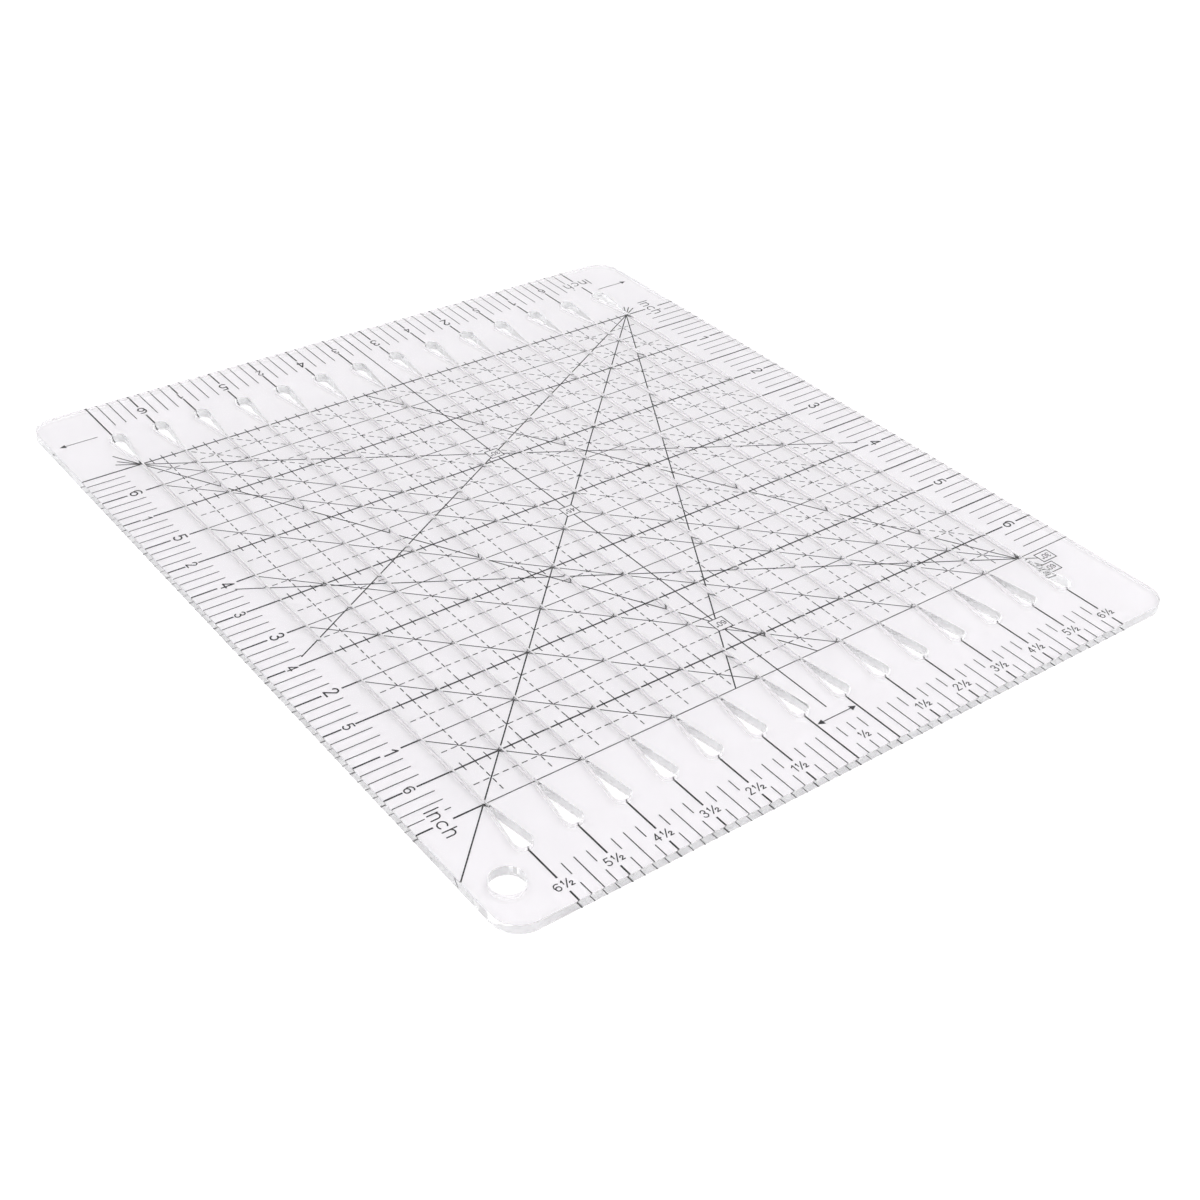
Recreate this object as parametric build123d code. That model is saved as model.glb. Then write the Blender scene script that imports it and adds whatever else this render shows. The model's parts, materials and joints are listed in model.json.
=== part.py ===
"""Clear acrylic quilting ruler with fourteen cutting slots and a printed inch grid.

The frame: X to the right, Y away along the slots, Z up. The origin is the middle of the
underside, on the surface that the ruler rests on. The print is a thin film of ink under
the plate, drawn so that it reads through the plate from above.
"""
from build123d import *
from math import atan2, cos, degrees, hypot, radians, sin, sqrt
import os

INCH = 25.4
EIGHTH = INCH / 8

# Plate
PLATE_WIDTH = 200.0
PLATE_LENGTH = 235.0
PLATE_THICKNESS = 2.5
CORNER_RADIUS = 7.0
FRONT_MARGIN = 35.2  # from the front edge to the first grid line
HANG_HOLE_RADIUS = 4.0
HANG_HOLE_AT = (-3.616 * INCH, -0.884 * INCH)

# Slots
SLOT_COUNT = 14
SLOT_PITCH = 0.5 * INCH
SLOT_WIDTH = 0.4
SLOT_LENGTH = 6.5 * INCH
EYE_RADIUS = 2.2  # round end of the teardrop that lets a blade in
EYE_DEPTH = 0.575 * INCH  # from the end of the slot to the middle of the round end

# Ink: the film and its line widths
INK_THICKNESS = 0.03
INK_INSET = 0.03  # clear strip between ink and a cut edge
BOLD = 0.44
MEDIUM = 0.32
THIN = 0.25
CROSS_TICK = 0.058 * INCH  # reach of a tick to each side of a bold row

# Figures: their heights, their pens and the gaps that they leave in a line
LARGE_FIGURE = 0.145 * INCH
SMALL_FIGURE = 0.115 * INCH
FRONT_FIGURE = 0.097 * INCH
LABEL_FIGURE = 0.070 * INCH
UNIT_WORD = 0.150 * INCH
LARGE_PEN = 0.42
SMALL_PEN = 0.34
FRONT_PEN = 0.26
LABEL_PEN = 0.20
LARGE_GAP = 0.205 * INCH
SMALL_GAP = 0.140 * INCH
FIGURE_SPACE = 0.26  # between figures, as a share of their height
FRACTION_SPACE = 0.34
WORD_SPACE = 0.33
WHOLE_INCHES = 6  # the highest figure of a scale
UNIT_WORD_GROUND = (3.0 * UNIT_WORD, 1.3 * UNIT_WORD)  # clear of other print around a word

# Places of the scales' figures and the ends of their graduations
FRONT_FIGURE_Y = -1.130 * INCH
FRONT_FIGURE_SHIFT = 0.018 * INCH
FRONT_TICK_END = -0.925 * INCH
FRONT_GAP = 0.175 * INCH
FRONT_TICK_GAP = 0.115 * INCH
LEFT_LARGE_X = -3.533 * INCH
LEFT_SMALL_X = -3.653 * INCH
LEFT_TICK_END = -3.486 * INCH
RIGHT_FIGURE_X = 3.667 * INCH
RIGHT_TICK_END = 3.469 * INCH
BACK_LARGE_Y = 7.540 * INCH
BACK_SMALL_Y = 7.613 * INCH
BACK_TICK_END = 7.406 * INCH
UNIT_LEFT_X = -3.645 * INCH
UNIT_RIGHT_X = 3.648 * INCH
UNIT_BACK_Y = 7.530 * INCH

# Angle lines
THIRTY_REACH = 6.75 * INCH  # how far a 30 degree line runs across the grid
RIGHT_RAY = 0.225 * INCH
SHORT_RAY = 0.265 * INCH
LONG_RAY = 0.360 * INCH
DIAGONAL_FOOT = -3.9 * INCH
ANGLE_LABELS = (
    # figures, middle of the box, its width and its height
    ("60°", (0.023 * INCH, 0.842 * INCH), 0.178 * INCH, 0.184 * INCH),
    ("45°", (0.003 * INCH, 3.245 * INCH), 0.170 * INCH, 0.172 * INCH),
    ("30°", (0.000 * INCH, 4.628 * INCH), 0.166 * INCH, 0.163 * INCH),
    ("30°", (3.527 * INCH, -0.120 * INCH), 0.195 * INCH, 0.150 * INCH),
    ("60°", (3.412 * INCH, -0.290 * INCH), 0.195 * INCH, 0.150 * INCH),
)

# Arrows
SPACING_ARROW_Y = -0.800 * INCH
ARROW_HEAD = 0.067 * INCH
ARROW_HALF_HEAD = 0.034 * INCH
ARROW_CLEARANCE = 0.018 * INCH  # from an arrow's tip to the line that it points at
HAND_ARROW_INNER = 3.395 * INCH
HAND_ARROW_OUTER = 3.825 * INCH
HAND_ARROW_Y = 7.275 * INCH

# Places that follow from the sizes above. The print and the cuts are drawn in grid
# coordinates, whose origin is the middle of the first grid line.
GRID_SIDE = SLOT_PITCH * (SLOT_COUNT - 1) / 2
GRID_LENGTH = SLOT_LENGTH
EIGHTHS_ALONG = round(GRID_LENGTH / EIGHTH)
EIGHTHS_TO_SIDE = round(GRID_SIDE / EIGHTH)
GRID_FRONT = FRONT_MARGIN - PLATE_LENGTH / 2
EYE_END = EYE_DEPTH + EYE_RADIUS
EDGE_SIDE = PLATE_WIDTH / 2 - INK_INSET
EDGE_FRONT = -FRONT_MARGIN + INK_INSET
EDGE_BACK = PLATE_LENGTH - FRONT_MARGIN - INK_INSET
SLOT_XS = [i * SLOT_PITCH - GRID_SIDE for i in range(SLOT_COUNT)]
FRONT_RIGHT = (GRID_SIDE, 0)
BACK_RIGHT = (GRID_SIDE, GRID_LENGTH)
BACK_LEFT = (-GRID_SIDE, GRID_LENGTH)


# ---------------------------------------------------------------- plane shapes


def bar(start, end, width):
    """A straight printed line between two points, with square ends."""
    (x0, y0), (x1, y1) = start, end
    turn = degrees(atan2(y1 - y0, x1 - x0))
    middle = Pos((x0 + x1) / 2, (y0 + y1) / 2)
    return (middle * Rot(0, 0, turn) * Rectangle(hypot(x1 - x0, y1 - y0), width)).face()


def across(y, x0, x1, width):
    return bar((x0, y), (x1, y), width)


def along(x, y0, y1, width):
    return bar((x, y0), (x, y1), width)


def ray(start, angle, length, width):
    """A line that leaves a point at an angle from +X, in degrees."""
    x, y = start
    end = (x + length * cos(radians(angle)), y + length * sin(radians(angle)))
    return bar(start, end, width)


def gap(middle, width):
    return (middle - width / 2, middle + width / 2)


def stretches(start, end, gaps):
    """The parts from start up to end that stay outside the gaps."""
    parts = []
    for low, high in gaps:
        parts.append((start, low))
        start = high
    return parts + [(start, end)]


def arrow_head(tip, direction):
    """A solid head whose tip points along +X or -X."""
    x, y = tip
    base = x - direction * ARROW_HEAD
    half = direction * ARROW_HALF_HEAD
    return Polygon(tip, (base, y + half), (base, y - half), align=None)


# ---------------------------------------------------------------- figures and letters


def straight(*points):
    return [Edge.make_line(a, b) for a, b in zip(points, points[1:])]


def curve(start, through, end):
    return [Edge.make_three_point_arc(start, through, end)]


def ring(x, y, radius):
    top, bottom = (x, y + radius), (x, y - radius)
    return [curve(bottom, (x - radius, y), top), curve(top, (x + radius, y), bottom)]


# Each glyph is its width and its pen strokes, for a figure one unit high.
ARCH = curve((0, 0.48), (0.25, 0.73), (0.50, 0.48)) + straight((0.50, 0.48), (0.50, 0))
GLYPHS = {
    "0": (0.54, [
        straight((0, 0.27), (0, 0.73)) + curve((0, 0.73), (0.27, 1), (0.54, 0.73)),
        straight((0.54, 0.73), (0.54, 0.27)) + curve((0.54, 0.27), (0.27, 0), (0, 0.27)),
    ]),
    "1": (0.28, [straight((0, 0.74), (0.28, 1), (0.28, 0))]),
    "2": (0.54, [
        curve((0.02, 0.74), (0.27, 1), (0.52, 0.72)) + straight((0.52, 0.72), (0, 0), (0.54, 0)),
    ]),
    "3": (0.54, [
        curve((0.03, 0.82), (0.48, 0.80), (0.22, 0.54)),
        curve((0.22, 0.54), (0.54, 0.26), (0, 0.18)),
    ]),
    "4": (0.58, [
        straight((0.42, 0), (0.42, 1), (0, 0.30)),
        straight((0, 0.30), (0.58, 0.30)),
    ]),
    "5": (0.54, [
        straight((0.50, 1), (0.09, 1), (0.03, 0.52)) + curve((0.03, 0.52), (0.54, 0.33), (0, 0.14)),
    ]),
    "6": (0.54, [curve((0.50, 0.84), (0.16, 0.88), (0, 0.34))] + ring(0.27, 0.27, 0.27)),
    "°": (0.24, ring(0.12, 0.88, 0.12)),
    "½": (1.02, [
        straight((0, 0.84), (0.12, 1), (0.12, 0.52)),
        straight((0.16, 0), (0.72, 1)),
        curve((0.66, 0.36), (0.84, 0.50), (1.00, 0.36)) + straight((1.00, 0.36), (0.66, 0), (1.02, 0)),
    ]),
    "I": (0.0, [straight((0, 0), (0, 1))]),
    "n": (0.50, [straight((0, 0), (0, 0.73)), ARCH]),
    "c": (0.56, [curve((0.52, 0.61), (0, 0.365), (0.52, 0.12))]),
    "h": (0.50, [straight((0, 0), (0, 1)), ARCH]),
}


def draw(strokes, size, pen):
    """Draw strokes of unit height with a round pen, and join them into one shape."""
    shape = Sketch()
    for stroke in strokes:
        path = Wire([edge.scale(size) for edge in stroke])
        shape += Face(path.offset_2d(pen / 2))
    return shape


def write(text, middle, height, pen, turn=0.0, space=FIGURE_SPACE):
    """Figures set in a row, centred on a point and turned about it."""
    size = height - pen
    length = sum(GLYPHS[letter][0] for letter in text) + space * (len(text) - 1)
    place = Pos(*middle) * Rot(0, 0, turn)
    x = -length / 2
    faces = []
    for letter in text:
        width, strokes = GLYPHS[letter]
        faces += (place * Pos(x * size, -size / 2) * draw(strokes, size, pen)).faces()
        x += width + space
    return faces


# ---------------------------------------------------------------- plate


def slot_shape(grow):
    """One through slot with a teardrop at each end, its front end at the origin."""
    radius = EYE_RADIUS + grow
    slot = Rectangle(SLOT_WIDTH + 2 * grow, SLOT_LENGTH + 2 * EYE_DEPTH)
    lean = EYE_RADIUS / EYE_DEPTH
    tangent_x = radius * sqrt(1 - lean**2)
    tangent_y = EYE_DEPTH - radius * lean
    tip_y = -grow / lean
    tip = Polygon((0, tip_y), (tangent_x, tangent_y), (-tangent_x, tangent_y), align=None)
    eye = tip + Pos(0, EYE_DEPTH) * Circle(radius)
    back_eye = Pos(0, SLOT_LENGTH) * eye
    front_eye = Rot(0, 0, 180) * eye
    return (Pos(0, SLOT_LENGTH / 2) * slot + back_eye + front_eye).face()


def cut_outs(grow=0.0):
    """All through cuts of the plate, each a little wider where it trims ink."""
    slot = slot_shape(grow)
    hole = Pos(*HANG_HOLE_AT) * Circle(HANG_HOLE_RADIUS + grow)
    return [Pos(x, 0) * slot for x in SLOT_XS] + [hole.face()]


def acrylic_plate():
    middle = Pos(0, PLATE_LENGTH / 2 - FRONT_MARGIN)
    outline = (middle * RectangleRounded(PLATE_WIDTH, PLATE_LENGTH, CORNER_RADIUS)).face()
    return extrude(outline - cut_outs(), PLATE_THICKNESS)


# ---------------------------------------------------------------- grid print


def half_inch_rows():
    """Bold rows half way between whole inches, with a tick at each eighth."""
    rows = []
    for i in range(1, SLOT_COUNT, 2):
        y = i * SLOT_PITCH
        for x in SLOT_XS[:-1]:
            row = across(y, x, x + SLOT_PITCH, BOLD)
            ticks = [along(x + j * EIGHTH, y - CROSS_TICK, y + CROSS_TICK, THIN) for j in (1, 2, 3)]
            rows += (Sketch() + row + ticks).faces()
    return rows


def whole_inch_rows():
    ys = [i * INCH for i in range(WHOLE_INCHES + 1)]
    return [across(y, -GRID_SIDE, GRID_SIDE, THIN) for y in ys]


def centre_line():
    return [along(0, -EYE_END, EDGE_BACK, MEDIUM)]


def main_diagonal():
    return [bar((DIAGONAL_FOOT, DIAGONAL_FOOT + GRID_SIDE), BACK_RIGHT, MEDIUM)]


def solid_45_lines():
    """Lines down to the right, from the left side of the grid to its first row."""
    feet = [(i + 0.75) * INCH for i in range(-3, 3)] + [GRID_SIDE]
    return [bar((-GRID_SIDE, foot + GRID_SIDE), (foot, 0), THIN) for foot in feet]


def angle_lines(angle, length):
    """The lines at one angle from the row that leave three corners of the grid."""
    return [
        ray(BACK_RIGHT, 180 + angle, length, MEDIUM),
        ray(BACK_LEFT, -angle, length, MEDIUM),
        ray(FRONT_RIGHT, 180 - angle, length, MEDIUM),
    ]


def lines_30():
    return angle_lines(30, THIRTY_REACH / cos(radians(30)))


def lines_60():
    return angle_lines(60, GRID_LENGTH / sin(radians(60)))


def corner_rays():
    """Short lines that carry the angles on past three corners of the grid."""
    rays = [ray(BACK_RIGHT, angle, RIGHT_RAY, MEDIUM) for angle in (30, 45, 60)]
    rays += [ray(BACK_LEFT, angle, SHORT_RAY, MEDIUM) for angle in (135, 150)]
    rays.append(ray(BACK_LEFT, 120, LONG_RAY, MEDIUM))
    rays += [ray(FRONT_RIGHT, angle, SHORT_RAY, THIN) for angle in (-30, -60)]
    return rays


def label_boxes():
    boxes = []
    for _, middle, width, height in ANGLE_LABELS:
        outer = Rectangle(width, height)
        inner = Rectangle(width - 2 * THIN, height - 2 * THIN)
        boxes.append((Pos(*middle) * (outer - inner)).face())
    return boxes


def label_figures():
    marks = []
    for text, middle, _, _ in ANGLE_LABELS:
        marks += write(text, middle, LABEL_FIGURE, LABEL_PEN, 180)
    return marks


# ---------------------------------------------------------------- edge scales


def side_graduations(edge, grid, tick_end, whole_gaps, half_gaps):
    """Graduations of a side scale: bold at each half inch, thin at the eighths between."""
    marks = []
    for i in range(1, EIGHTHS_ALONG + 1):
        y = i * EIGHTH
        if i % 4:
            marks.append(across(y, edge, tick_end, THIN))
        elif i % 8 == 0:
            marks += [across(y, a, b, BOLD) for a, b in stretches(edge, grid, whole_gaps)]
        elif i < EIGHTHS_ALONG:
            marks += [across(y, a, b, BOLD) for a, b in stretches(edge, grid, half_gaps)]
        else:
            marks.append(across(y, edge, grid, BOLD))
    return marks


def left_graduations():
    large, small = [gap(LEFT_LARGE_X, LARGE_GAP)], [gap(LEFT_SMALL_X, SMALL_GAP)]
    marks = side_graduations(-EDGE_SIDE, -GRID_SIDE, LEFT_TICK_END, large, small)
    return marks + [across(0, -EDGE_SIDE, -GRID_SIDE, BOLD)]


def right_graduations():
    figure = gap(RIGHT_FIGURE_X, LARGE_GAP)
    inward = [tuple(reversed(figure))]
    marks = side_graduations(EDGE_SIDE, GRID_SIDE, RIGHT_TICK_END, [], inward)
    return marks + [across(0, GRID_SIDE, EDGE_SIDE, THIN)]


def is_slot(i):
    """Whether the graduation i eighths from the centre line is in line with a slot."""
    return i % 4 == 2


def figure_beside(i):
    """Whether a front graduation has a figure on it or next to it."""
    slots_with_figures = range(6, EIGHTHS_TO_SIDE + 1, 4)
    return abs(i) < 2 or any(abs(i) + j in slots_with_figures for j in (-1, 0, 1))


def front_graduations():
    marks = []
    for i in range(-EIGHTHS_TO_SIDE, EIGHTHS_TO_SIDE + 1):
        x = i * EIGHTH
        width = BOLD if is_slot(i) else THIN
        start = -EYE_END if is_slot(i) else FRONT_TICK_END
        space = FRONT_GAP if is_slot(i) or i == 0 else FRONT_TICK_GAP
        gaps = [tuple(reversed(gap(FRONT_FIGURE_Y, space)))] if figure_beside(i) else []
        marks += [along(x, a, b, width) for a, b in stretches(start, EDGE_FRONT, gaps)]
    return marks


def back_graduations():
    marks = []
    for i in range(-EIGHTHS_TO_SIDE, EIGHTHS_TO_SIDE + 1):
        x = i * EIGHTH
        if not is_slot(i):
            marks += [along(x, EDGE_BACK, BACK_TICK_END, THIN)] if i else []
            continue
        y = BACK_LARGE_Y if i % 8 == 2 else BACK_SMALL_Y
        space = LARGE_GAP if i % 8 == 2 else SMALL_GAP
        gaps = [tuple(reversed(gap(y, space)))] if abs(i) < EIGHTHS_TO_SIDE else []
        ends = stretches(EDGE_BACK, GRID_LENGTH + EYE_END, gaps)
        marks += [along(x, a, b, BOLD) for a, b in ends]
    return marks


def front_figures():
    marks = write("½", (FRONT_FIGURE_SHIFT, FRONT_FIGURE_Y), FRONT_FIGURE, FRONT_PEN)
    for i in range(1, WHOLE_INCHES + 1):
        for x in (-(i + 0.5) * SLOT_PITCH, (i + 0.5) * SLOT_PITCH):
            place = (x, FRONT_FIGURE_Y)
            marks += write(f"{i}½", place, FRONT_FIGURE, FRONT_PEN, space=FRACTION_SPACE)
    return marks


def whole_figures(place, height, pen, turn):
    """The figures 1 to 6, each at the place that a function of it gives."""
    marks = []
    for i in range(1, WHOLE_INCHES + 1):
        marks += write(str(i), place(i * INCH), height, pen, turn)
    return marks


def left_large_figures():
    return whole_figures(lambda y: (LEFT_LARGE_X, y), LARGE_FIGURE, LARGE_PEN, -90)


def left_small_figures():
    def place(y):
        return (LEFT_SMALL_X, GRID_LENGTH - y)

    return whole_figures(place, SMALL_FIGURE, SMALL_PEN, -90)


def right_figures():
    def place(y):
        return (RIGHT_FIGURE_X, GRID_LENGTH - y)

    return whole_figures(place, LARGE_FIGURE, LARGE_PEN, -90)


def back_large_figures():
    def place(x):
        return (GRID_SIDE - x, BACK_LARGE_Y)

    return whole_figures(place, LARGE_FIGURE, LARGE_PEN, 180)


def back_small_figures():
    def place(x):
        return (x - GRID_SIDE, BACK_SMALL_Y)

    return whole_figures(place, SMALL_FIGURE, SMALL_PEN, 180)


UNIT_WORDS = (
    # middle and turn
    ((UNIT_LEFT_X, 0.010 * INCH), -90),
    ((UNIT_RIGHT_X, 6.515 * INCH), -90),
    ((GRID_SIDE, UNIT_BACK_Y), 180),
)


def unit_words():
    marks = []
    for middle, turn in UNIT_WORDS:
        marks += write("Inch", middle, UNIT_WORD, SMALL_PEN, turn, WORD_SPACE)
    return marks


def word_clearances():
    """Clear ground around each unit word, where no graduation is printed."""
    ground = Rectangle(*UNIT_WORD_GROUND)
    return [(Pos(*middle) * Rot(0, 0, turn) * ground).face() for middle, turn in UNIT_WORDS]


def spacing_arrow():
    """A double arrow across the half inch between the two middle slots."""
    tip = SLOT_PITCH / 2 - ARROW_CLEARANCE
    shaft = across(SPACING_ARROW_Y, -tip + ARROW_HEAD / 2, tip - ARROW_HEAD / 2, THIN)
    right = arrow_head((tip, SPACING_ARROW_Y), 1)
    left = arrow_head((-tip, SPACING_ARROW_Y), -1)
    return (Sketch() + shaft + right + left).faces()


def hand_arrows():
    """One arrow to each side, for the hand that reads the back scale from there."""
    arrows = []
    for side in (-1, 1):
        tip = side * HAND_ARROW_OUTER
        shaft = across(HAND_ARROW_Y, side * HAND_ARROW_INNER, tip - side * ARROW_HEAD / 2, THIN)
        arrows += (Sketch() + shaft + arrow_head((tip, HAND_ARROW_Y), side)).faces()
    return arrows


# ---------------------------------------------------------------- film and files

# The order is the order of printing: where two groups cross, the ink belongs to the first.
PRINT = {
    "angle_label_boxes": label_boxes,
    "angle_label_figures": label_figures,
    "front_scale_figures": front_figures,
    "back_scale_large_figures": back_large_figures,
    "back_scale_small_figures": back_small_figures,
    "left_scale_large_figures": left_large_figures,
    "left_scale_small_figures": left_small_figures,
    "right_scale_figures": right_figures,
    "unit_words": unit_words,
    "slot_spacing_arrow": spacing_arrow,
    "hand_direction_arrows": hand_arrows,
    "half_inch_rows": half_inch_rows,
    "main_diagonal": main_diagonal,
    "centre_line": centre_line,
    "front_scale_graduations": front_graduations,
    "back_scale_graduations": back_graduations,
    "left_scale_graduations": left_graduations,
    "right_scale_graduations": right_graduations,
    "angle_lines_30": lines_30,
    "angle_lines_60": lines_60,
    "corner_angle_rays": corner_rays,
    "whole_inch_rows": whole_inch_rows,
    "angle_lines_45": solid_45_lines,
}
SMALLEST_MARK = 0.01  # square millimetres, below which a sliver of ink is left out


def extent(face):
    box = face.bounding_box()
    return box.min.X, box.min.Y, box.max.X, box.max.Y


def near(a, b):
    """Whether two extents overlap."""
    return a[0] < b[2] and b[0] < a[2] and a[1] < b[3] and b[1] < a[3]


def trimmed(mark, stencils):
    """What is left of a mark outside the stencils."""
    reach = extent(mark)
    tools = [face for face, size in stencils if near(reach, size)]
    if not tools:
        return [mark]
    return [face for face in (mark - tools).faces() if face.area > SMALLEST_MARK]


def film(marks):
    """Ink under the plate, in the ruler's own frame."""
    return [Pos(0, GRID_FRONT) * extrude(mark, INK_THICKNESS, dir=(0, 0, 1)) for mark in marks]


def write_step(name, solids):
    export_step(Compound(solids), f"parts/{name}.step", write_pcurves=False)


def label_grounds():
    return [(Pos(*m) * Rectangle(width, height)).face() for _, m, width, height in ANGLE_LABELS]


os.makedirs("parts", exist_ok=True)
plate = Pos(0, GRID_FRONT, INK_THICKNESS) * acrylic_plate()
write_step("acrylic_plate", plate.solids())

cuts = [(face, extent(face)) for face in cut_outs(INK_INSET)]
grounds = [(face, extent(face)) for face in label_grounds() + word_clearances()]
lettering = ("angle_label_boxes", "angle_label_figures", "unit_words")
printed = []
for name, make in PRINT.items():
    stencils = cuts + printed + ([] if name in lettering else grounds)
    marks = [part for mark in make() for part in trimmed(mark, stencils)]
    printed += [(mark, extent(mark)) for mark in marks]
    solids = [solid for sheet in film(marks) for solid in sheet.solids()]
    write_step(name, solids)
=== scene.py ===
"""Looks of the clear acrylic quilting ruler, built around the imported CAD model.

The plate is rebuilt with fine arrises and smooth round ends, and stands for the CAD plate.
The printed marks keep their CAD meshes. The dashed lines of the grid are added here.
Everything is in metres, in the ruler's own frame.
"""
import json
from math import asin, cos, degrees, radians, sin, sqrt

import bmesh
import bpy
from mathutils import Matrix, Vector
from mathutils.geometry import tessellate_polygon


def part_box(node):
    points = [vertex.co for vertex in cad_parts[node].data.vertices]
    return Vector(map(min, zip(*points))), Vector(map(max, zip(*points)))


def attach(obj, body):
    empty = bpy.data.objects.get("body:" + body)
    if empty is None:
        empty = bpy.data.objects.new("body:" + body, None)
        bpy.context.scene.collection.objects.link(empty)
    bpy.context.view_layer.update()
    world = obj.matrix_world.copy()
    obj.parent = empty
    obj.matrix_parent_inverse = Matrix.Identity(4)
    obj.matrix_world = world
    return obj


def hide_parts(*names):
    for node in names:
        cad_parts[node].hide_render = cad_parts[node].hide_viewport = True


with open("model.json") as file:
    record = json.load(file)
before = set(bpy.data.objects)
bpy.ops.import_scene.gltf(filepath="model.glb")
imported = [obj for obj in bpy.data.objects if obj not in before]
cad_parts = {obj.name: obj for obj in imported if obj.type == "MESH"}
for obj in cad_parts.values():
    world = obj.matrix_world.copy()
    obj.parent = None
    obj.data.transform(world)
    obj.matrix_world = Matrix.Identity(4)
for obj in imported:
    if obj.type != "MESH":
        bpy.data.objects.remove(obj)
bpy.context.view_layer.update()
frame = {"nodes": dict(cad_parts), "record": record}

MM = 0.001
INCH = 25.4 * MM

# Plate
CORNER_RADIUS = 7 * MM
OUTER_ARRIS = 0.15 * MM
CUT_ARRIS = 0.05 * MM
INK_DEPTH = 0.01 * MM  # how deep the ink's upper face sits in the plate
SMOOTH_BELOW = radians(30)  # a sharper turn between two wall faces stays an edge

# Slots and their teardrop ends
SLOT_COUNT = 14
SLOT_PITCH = INCH / 2
SLOT_WIDTH = 0.4 * MM
SLOT_LENGTH = 6.5 * INCH
EYE_RADIUS = 2.2 * MM
EYE_DEPTH = 0.575 * INCH

# Steps of each rounded stretch
ARRIS_STEPS = 3
CORNER_STEPS = 24
EYE_STEPS = 48
HOLE_STEPS = 64

# Dashed print
INK_INSET = 0.03 * MM  # clear strip between ink and a cut edge
THIN = 0.25 * MM
DASH = 1.5 * MM
DASH_GAP = 1.0 * MM
SHORTEST_DASH = 0.15 * MM
WELD = 0.001 * MM  # mesh points closer than this are one point
LEVEL = 1e-9  # a line that moves less than this along an axis runs square to it
FILM_FOOT = 0.004 * MM  # height of the dashes' lower face
FILM_STEP = 0.002 * MM  # between the heights of the three sets of dashes
COLUMNS_TO_SIDE = 6
SLOPE_COUNT = 11
FIRST_SLOPE = 3.75  # x + y of the lowest dashed 45 degree line, in inches

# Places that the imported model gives
plate_low, plate_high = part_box("acrylic_plate")
ink_top = plate_low.z
hang_hole = next(mount for mount in frame["record"]["mounts"] if mount["name"] == "hang_hole")
HOLE_AT = hang_hole["pos_m"][:2]
HOLE_RADIUS = hang_hole["dims"]["r_mm"] * MM
GRID_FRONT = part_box("whole_inch_rows")[0].y + THIN / 2
GRID_SIDE = SLOT_PITCH * (SLOT_COUNT - 1) / 2
SLOT_XS = [i * SLOT_PITCH - GRID_SIDE for i in range(SLOT_COUNT)]


# ---------------------------------------------------------------- plate


def arc(centre, radius, start, end, steps):
    """Points on an arc between two angles in degrees, both ends included."""
    x, y = centre
    turns = [radians(start + (end - start) * i / steps) for i in range(steps + 1)]
    return [Vector((x + radius * cos(t), y + radius * sin(t))) for t in turns]


def plate_outline():
    left, front = plate_low.x + CORNER_RADIUS, plate_low.y + CORNER_RADIUS
    right, back = plate_high.x - CORNER_RADIUS, plate_high.y - CORNER_RADIUS
    corners = ((right, front, -90), (right, back, 0), (left, back, 90), (left, front, 180))
    points = []
    for x, y, start in corners:
        points += arc((x, y), CORNER_RADIUS, start, start + 90, CORNER_STEPS)
    return points


def slot_outline(x):
    """One slot with its two teardrops. The plate lies to its left, as for every hole."""
    front, back = GRID_FRONT, GRID_FRONT + SLOT_LENGTH
    side = SLOT_WIDTH / 2
    lean = EYE_RADIUS / EYE_DEPTH
    neck = side * (EYE_DEPTH - EYE_RADIUS * lean) / (EYE_RADIUS * sqrt(1 - lean**2))
    flare = degrees(asin(lean))
    points = [Vector((x + side, front - neck)), Vector((x + side, back + neck))]
    points += arc((x, back + EYE_DEPTH), EYE_RADIUS, -flare, 180 + flare, EYE_STEPS)
    points += [Vector((x - side, back + neck)), Vector((x - side, front - neck))]
    points += arc((x, front - EYE_DEPTH), EYE_RADIUS, 180 - flare, 360 + flare, EYE_STEPS)
    return points[::-1]


def hole_outline():
    """The hang hole, clockwise from above."""
    return arc(HOLE_AT, HOLE_RADIUS, 360, 360 / HOLE_STEPS, HOLE_STEPS - 1)


def moved_in(points, distance):
    """A closed outline moved sideways into the plate, which lies to its left."""
    moved = []
    for before, here, after in zip(points[-1:] + points, points, points[1:] + points[:1]):
        a, b = (here - before).normalized(), (after - here).normalized()
        normal = Vector((-a.y - b.y, a.x + b.x)).normalized()
        moved.append(here + normal * distance / normal.dot(Vector((-a.y, a.x))))
    return moved


def levels(arris, low, high):
    """(inset, height) of each row of points up the wall, with both arrises rounded."""
    turns = [radians(90 * i / ARRIS_STEPS) for i in range(ARRIS_STEPS + 1)]
    foot = [(arris * (1 - sin(t)), low + arris * (1 - cos(t))) for t in turns]
    return foot + [(inset, low + high - height) for inset, height in reversed(foot)]


def add_wall(bm, points, arris, low, high):
    """The wall of one outline. Gives its lowest and its highest row of points."""
    rows = []
    for inset, z in levels(arris, low, high):
        rows.append([bm.verts.new((p.x, p.y, z)) for p in moved_in(points, inset)])
    for lower, upper in zip(rows, rows[1:]):
        for i in range(len(points)):
            j = (i + 1) % len(points)
            bm.faces.new((lower[i], lower[j], upper[j], upper[i]))
    # Sharp edges along each row keep the arris bands and the flat faces apart in shading.
    for row in rows:
        for v, beside in zip(row, row[1:] + row[:1]):
            bm.edges.get((v, beside)).smooth = False
    return rows[0], rows[-1]


def add_cap(bm, rings, upward):
    """The flat face between the plate's outline and its cuts."""
    flat = [v for ring in rings for v in ring]
    for triangle in tessellate_polygon([[v.co for v in ring] for ring in rings]):
        face = bm.faces.new([flat[i] for i in triangle])
        face.normal_update()
        if (face.normal.z > 0) != upward:
            face.normal_flip()


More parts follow.
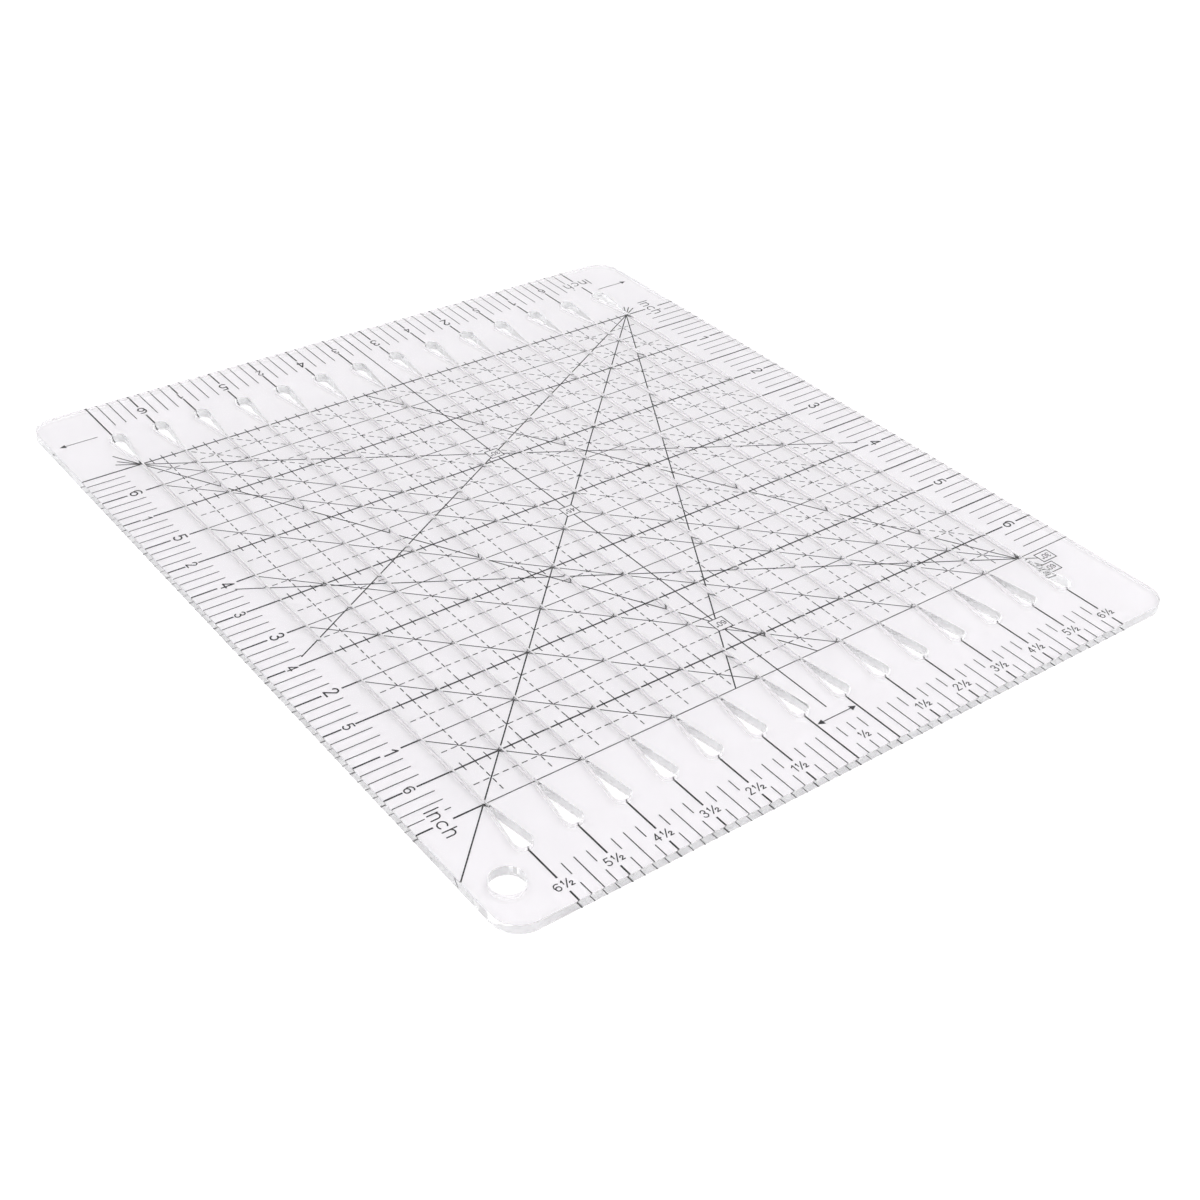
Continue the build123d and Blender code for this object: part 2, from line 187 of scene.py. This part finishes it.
def plate_mesh():
    low, high = ink_top - INK_DEPTH, plate_high.z
    outlines = [(plate_outline(), OUTER_ARRIS), (hole_outline(), CUT_ARRIS)]
    outlines += [(slot_outline(x), CUT_ARRIS) for x in SLOT_XS]
    bm = bmesh.new()
    walls = [add_wall(bm, points, arris, low, high) for points, arris in outlines]
    add_cap(bm, [foot for foot, head in walls], upward=False)
    add_cap(bm, [head for foot, head in walls], upward=True)
    for face in bm.faces:
        face.smooth = True
    for edge in bm.edges:
        if edge.smooth:
            edge.smooth = edge.calc_face_angle(0) < SMOOTH_BELOW
    return to_mesh(bm, "clear_plate")


def to_mesh(bm, name):
    mesh = bpy.data.meshes.new(name)
    bm.to_mesh(mesh)
    bm.free()
    return mesh


# ---------------------------------------------------------------- dashed lines


def find_label_boxes():
    """The corners of each printed label box, from the loose parts of its CAD node."""
    bm = bmesh.new()
    bm.from_mesh(frame["nodes"]["angle_label_boxes"].data)
    bmesh.ops.remove_doubles(bm, verts=bm.verts, dist=WELD)
    seen, boxes = set(), []
    for first in bm.verts:
        if first in seen:
            continue
        seen.add(first)
        part = [first]
        for v in part:
            near = {edge.other_vert(v) for edge in v.link_edges} - seen
            seen |= near
            part += near
        xs, ys = [v.co.x for v in part], [v.co.y for v in part]
        boxes.append(((min(xs), min(ys)), (max(xs), max(ys))))
    bm.free()
    return boxes


LABEL_BOXES = find_label_boxes()


def label_spans(start, end):
    """Where a line runs behind a label box, as distances from its start."""
    way = end - start
    spans = []
    for low, high in LABEL_BOXES:
        first, last = 0.0, 1.0
        for k in (0, 1):
            if abs(way[k]) < LEVEL:
                if not low[k] < start[k] < high[k]:
                    first, last = 1.0, 0.0
                continue
            ends = sorted(((low[k] - start[k]) / way[k], (high[k] - start[k]) / way[k]))
            first, last = max(first, ends[0]), min(last, ends[1])
        if first < last:
            spans.append((first * way.length, last * way.length))
    return spans


def slot_spans(start, end):
    """Where a line crosses a slot, as distances from its start."""
    way = end - start
    if abs(way.x) < LEVEL:
        return []
    reach = (SLOT_WIDTH / 2 + INK_INSET) * way.length / abs(way.x)
    middles = [(x - start.x) / way.x * way.length for x in SLOT_XS]
    return [(m - reach, m + reach) for m in middles]


def dashes(start, end):
    """Dashes along a line, with one on its middle, as pairs of distances."""
    length = (end - start).length
    pitch = DASH + DASH_GAP
    reach = int((length - DASH) / 2 / pitch)
    middles = [length / 2 + i * pitch for i in range(-reach, reach + 1)]
    return [(m - DASH / 2, m + DASH / 2) for m in middles]


def without(marks, spans):
    """What is left of the marks outside the spans."""
    for low, high in spans:
        kept = []
        for a, b in marks:
            kept += [(a, min(b, low)), (max(a, high), b)] if a < high and low < b else [(a, b)]
        marks = [(a, b) for a, b in kept if b - a > SHORTEST_DASH]
    return marks


def dashed(name, lines, height):
    """Thin printed bars on lines between pairs of points, as one piece."""
    bm = bmesh.new()
    for start, end in lines:
        way = (end - start).normalized()
        side = Vector((-way.y, way.x)) * THIN / 2
        for a, b in without(dashes(start, end), slot_spans(start, end) + label_spans(start, end)):
            low, high = start + way * a, start + way * b
            ring = [low - side, high - side, high + side, low + side]
            foot = [bm.verts.new((p.x, p.y, FILM_FOOT)) for p in ring]
            head = [bm.verts.new((p.x, p.y, height)) for p in ring]
            bm.faces.new(foot[::-1])
            bm.faces.new(head)
            for i in range(4):
                j = (i + 1) % 4
                bm.faces.new((foot[i], foot[j], head[j], head[i]))
    return to_mesh(bm, name)


def at(x, y):
    """A point of the grid, in inches from the middle of its first line."""
    return Vector((x * INCH, GRID_FRONT + y * INCH))


def dashed_lines():
    """Rows and columns between the solid lines, and lines down to the right at 45 degrees."""
    side, top = GRID_SIDE / INCH, SLOT_LENGTH / INCH
    row_ys = [(i + 0.5) / 2 for i in range(SLOT_COUNT - 1)]
    column_xs = [i / 2 for i in range(-COLUMNS_TO_SIDE, COLUMNS_TO_SIDE + 1) if i]
    sums = [FIRST_SLOPE + i / 2 for i in range(SLOPE_COUNT)]
    return {
        "dashed_rows": [(at(-side, y), at(side, y)) for y in row_ys],
        "dashed_columns": [(at(x, 0), at(x, top)) for x in column_xs],
        "dashed_45_lines": [(at(total - top, top), at(side, total - side)) for total in sums],
    }


# ---------------------------------------------------------------- shader nodes


def new_material(name):
    material = bpy.data.materials.new(name)
    material.use_nodes = True
    material.node_tree.nodes.clear()
    return material, material.node_tree


def add(tree, kind, inputs=None, **properties):
    """A shader node. Each input takes a plain value or another node's output."""
    node = tree.nodes.new(kind)
    for key, value in properties.items():
        setattr(node, key, value)
    for key, value in (inputs or {}).items():
        if isinstance(value, bpy.types.NodeSocket):
            tree.links.new(value, node.inputs[key])
        else:
            node.inputs[key].default_value = value
    return node


def remap(tree, value, low, high, to_low=0.0, to_high=1.0, **properties):
    """The value, moved from one range to another and held inside it."""
    inputs = {
        "Value": value,
        "From Min": low,
        "From Max": high,
        "To Min": to_low,
        "To Max": to_high,
    }
    return add(tree, "ShaderNodeMapRange", inputs, **properties).outputs["Result"]


def blend(tree, share, a, b):
    """The first value where the share is 0, the second where it is 1."""
    return remap(tree, share, 0, 1, a, b)


def compute(tree, operation, *values):
    """Arithmetic on plain values or on other nodes' outputs."""
    inputs = dict(enumerate(values))
    return add(tree, "ShaderNodeMath", inputs, operation=operation).outputs[0]


def noise(tree, vector, scale, detail):
    inputs = {"Vector": vector, "Scale": scale, "Detail": detail}
    return add(tree, "ShaderNodeTexNoise", inputs).outputs["Fac"]


def parts(tree, vector):
    """The X, Y and Z of a vector."""
    return add(tree, "ShaderNodeSeparateXYZ", {0: vector}).outputs


# ---------------------------------------------------------------- materials

ACRYLIC_TINT = (0.941, 0.926, 0.942, 1)
ACRYLIC_BODY = (0.25, 0.5, 0.45, 1)
BODY_DENSITY = 4.0
ACRYLIC_IOR = 1.49
POLISHED_ROUGHNESS = 0.02
CUT_ROUGHNESS = 0.02
UNDERSIDE_ROUGHNESS = 0.55
FROST = 0.8  # share of light that a slot wall scatters
WALL_TILT = (0.9, 0.2)  # size of the normal's z where a wall begins and where it is full
UNDERSIDE_TILT = (-0.9, -0.95)
HAZE_SCALE = 40  # patches per metre
HAZE_RANGE = (0.35, 0.75)
SAW_MARKS = (2500, 2500, 120)  # marks per metre, long in the height of the wall
SAW_MARK_DEPTH = 0.02 * MM
SAW_MARK_STRENGTH = 0.05


def acrylic():
    """Clear acrylic: polished top, matte underside, finely marked walls, frosted slots."""
    material, tree = new_material("clear_acrylic")
    place = add(tree, "ShaderNodeTexCoord").outputs["Object"]
    geometry = add(tree, "ShaderNodeNewGeometry").outputs
    normal_z = parts(tree, geometry["True Normal"])["Z"]
    wall = remap(tree, compute(tree, "ABSOLUTE", normal_z), *WALL_TILT)
    underside = remap(tree, normal_z, *UNDERSIDE_TILT)

    haze = noise(tree, place, HAZE_SCALE, detail=4)
    polished = remap(tree, haze, *HAZE_RANGE, 0.0, POLISHED_ROUGHNESS)
    sides = blend(tree, wall, polished, CUT_ROUGHNESS)
    roughness = blend(tree, underside, sides, UNDERSIDE_ROUGHNESS)

    stretched = add(tree, "ShaderNodeMapping", {"Vector": place, "Scale": SAW_MARKS})
    bump = add(tree, "ShaderNodeBump", {
        "Distance": SAW_MARK_DEPTH,
        "Height": noise(tree, stretched.outputs["Vector"], 1, detail=2),
        "Strength": compute(tree, "MULTIPLY", wall, SAW_MARK_STRENGTH),
    })

    # A slot wall is frosted only as seen from the air side, so that a mark mirrored in it
    # from inside the plate stays crisp.
    where = parts(tree, place)
    outside = compute(tree, "SUBTRACT", FROST, geometry["Backfacing"])
    frosted = compute(tree, "MULTIPLY", wall, compute(tree, "MAXIMUM", outside, 0))
    middle = GRID_FRONT + SLOT_LENGTH / 2
    for axis, centre, reach in (("X", 0, GRID_SIDE + SLOT_WIDTH), ("Y", middle, SLOT_LENGTH / 2)):
        inside = compute(tree, "COMPARE", where[axis], centre, reach)
        frosted = compute(tree, "MULTIPLY", frosted, inside)

    glass = add(tree, "ShaderNodeBsdfPrincipled", {
        "Transmission Weight": compute(tree, "SUBTRACT", 1, frosted),
        "IOR": ACRYLIC_IOR,
        "Base Color": ACRYLIC_TINT,
        "Roughness": roughness,
        "Normal": bump.outputs["Normal"],
    })
    body = add(tree, "ShaderNodeVolumeAbsorption", {"Color": ACRYLIC_BODY, "Density": BODY_DENSITY})
    add(tree, "ShaderNodeOutputMaterial", {"Surface": glass.outputs[0], "Volume": body.outputs[0]})
    return material


INK_DARK = (0.004, 0.004, 0.005, 1)
INK_LIGHT = (0.014, 0.014, 0.016, 1)
INK_GRAIN = 900  # grains per metre
INK_GRAIN_RANGE = (0.35, 0.70)
INK_GRAIN_DEPTH = 0.005 * MM
INK_GRAIN_STRENGTH = 0.4
INK_ROUGHNESS = (0.45, 0.75)
INK_SHINE = 0.3


def ink():
    """Dark matte ink with a fine grain."""
    material, tree = new_material("printed_ink")
    place = add(tree, "ShaderNodeTexCoord").outputs["Object"]
    grain = noise(tree, place, INK_GRAIN, detail=5)
    tone = add(tree, "ShaderNodeValToRGB", {"Fac": grain})
    ends = zip(tone.color_ramp.elements, INK_GRAIN_RANGE, (INK_DARK, INK_LIGHT))
    for element, position, color in ends:
        element.position = position
        element.color = color
    inputs = {"Distance": INK_GRAIN_DEPTH, "Strength": INK_GRAIN_STRENGTH, "Height": grain}
    bump = add(tree, "ShaderNodeBump", inputs)
    skin = add(tree, "ShaderNodeBsdfPrincipled", {
        "Specular IOR Level": INK_SHINE,
        "Base Color": tone.outputs["Color"],
        "Roughness": remap(tree, grain, 0, 1, *INK_ROUGHNESS),
        "Normal": bump.outputs["Normal"],
    })
    add(tree, "ShaderNodeOutputMaterial", {"Surface": skin.outputs[0]})
    return material


# ---------------------------------------------------------------- assembly

scene = bpy.context.scene


def new_object(name, data):
    thing = bpy.data.objects.new(name, data)
    scene.collection.objects.link(thing)
    return thing


def place_piece(name, mesh, material):
    piece = new_object(name, mesh)
    mesh.materials.append(material)
    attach(piece, "root")
    return piece


clear_plate = place_piece("clear_plate", plate_mesh(), acrylic())
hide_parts("acrylic_plate")

ink_material = ink()
for step, (name, lines) in enumerate(dashed_lines().items(), start=1):
    place_piece(name, dashed(name, lines, ink_top - step * FILM_STEP), ink_material)

for name, node in frame["nodes"].items():
    if name != "acrylic_plate":
        node.data.materials.clear()
        node.data.materials.append(ink_material)


# ---------------------------------------------------------------- camera

CAMERA_AIM = Vector((-17.6, -36.7, 1.3)) * MM
CAMERA_DISTANCE = 436.4 * MM
CAMERA_HEADING = radians(51.60)
CAMERA_PITCH = radians(-35.34)
CAMERA_ROLL = radians(2.57)
CAMERA_LENS = 53.44  # in mm, as is the sensor
CAMERA_SENSOR = 36
CAMERA_NEAR = 10 * MM
CAMERA_LOOK = Vector((
    cos(CAMERA_PITCH) * cos(CAMERA_HEADING),
    cos(CAMERA_PITCH) * sin(CAMERA_HEADING),
    sin(CAMERA_PITCH),
))


def add_camera():
    right = CAMERA_LOOK.cross(Vector((0, 0, 1))).normalized()
    level = Matrix((right, right.cross(CAMERA_LOOK), -CAMERA_LOOK)).transposed()
    turn = level @ Matrix.Rotation(CAMERA_ROLL, 3, "Z")
    data = bpy.data.cameras.new("camera")
    data.lens = CAMERA_LENS
    data.sensor_width = CAMERA_SENSOR
    data.clip_start = CAMERA_NEAR
    camera = new_object("camera", data)
    eye = CAMERA_AIM - CAMERA_LOOK * CAMERA_DISTANCE
    camera.matrix_world = Matrix.Translation(eye) @ turn.to_4x4()
    scene.camera = camera


add_camera()


# ---------------------------------------------------------------- floor and light

FLOOR_DROP = 0.02 * MM
FLOOR_HALF = 4.0
FLOOR_TONE = 0.93
SKY_BRIGHT = 1.61
SKY_DIM = 0.71
DIM_PATCH = Vector((CAMERA_LOOK.x, CAMERA_LOOK.y, -CAMERA_LOOK.z))  # mirrored to the camera
DIM_CORE = radians(20)  # the patch is at its darkest this far from its middle
DIM_REACH = radians(42)  # and ends here
SOFTBOX_SIZE = 1.2
SOFTBOX_POWER = 9  # watts
SOFTBOX_AT = Vector((1.1, -0.35, 1.6))


def add_floor():
    mesh = bpy.data.meshes.new("floor")
    signs = ((-1, -1), (1, -1), (1, 1), (-1, 1))
    corners = [(x * FLOOR_HALF, y * FLOOR_HALF, -FLOOR_DROP) for x, y in signs]
    mesh.from_pydata(corners, [], [(0, 1, 2, 3)])
    material, tree = new_material("floor_paint")
    tone = (FLOOR_TONE, FLOOR_TONE, FLOOR_TONE, 1)
    coat = add(tree, "ShaderNodeBsdfDiffuse", {"Color": tone})
    add(tree, "ShaderNodeOutputMaterial", {"Surface": coat.outputs[0]})
    mesh.materials.append(material)
    new_object("floor", mesh)


def add_sky():
    """A white room with a darker patch, so that ink stays dark under the plate's shine."""
    world = bpy.data.worlds.new("studio")
    scene.world = world
    world.use_nodes = True
    tree = world.node_tree
    tree.nodes.clear()
    place = add(tree, "ShaderNodeTexCoord").outputs["Generated"]
    toward = add(tree, "ShaderNodeVectorMath", {0: place, 1: DIM_PATCH}, operation="DOT_PRODUCT")
    strength = remap(
        tree,
        toward.outputs["Value"],
        cos(DIM_REACH),
        cos(DIM_CORE),
        SKY_BRIGHT,
        SKY_DIM,
        interpolation_type="SMOOTHSTEP",
    )
    sky = add(tree, "ShaderNodeBackground", {"Color": (1, 1, 1, 1), "Strength": strength})
    add(tree, "ShaderNodeOutputWorld", {"Surface": sky.outputs[0]})


def add_softbox():
    lamp = bpy.data.lights.new("softbox", "AREA")
    lamp.shape = "SQUARE"
    lamp.size = SOFTBOX_SIZE
    lamp.energy = SOFTBOX_POWER
    softbox = new_object("softbox", lamp)
    softbox.location = SOFTBOX_AT
    softbox.rotation_euler = SOFTBOX_AT.to_track_quat("Z", "Y").to_euler()


add_floor()
add_sky()
add_softbox()
scene.view_settings.view_transform = "Standard"

# Light that is trapped in the plate bounces many times before it leaves.
PLATE_BOUNCES = 128
FLOOR_BOUNCES = 4
scene.cycles.max_bounces = PLATE_BOUNCES
scene.cycles.transmission_bounces = PLATE_BOUNCES
scene.cycles.glossy_bounces = PLATE_BOUNCES
scene.cycles.diffuse_bounces = FLOOR_BOUNCES
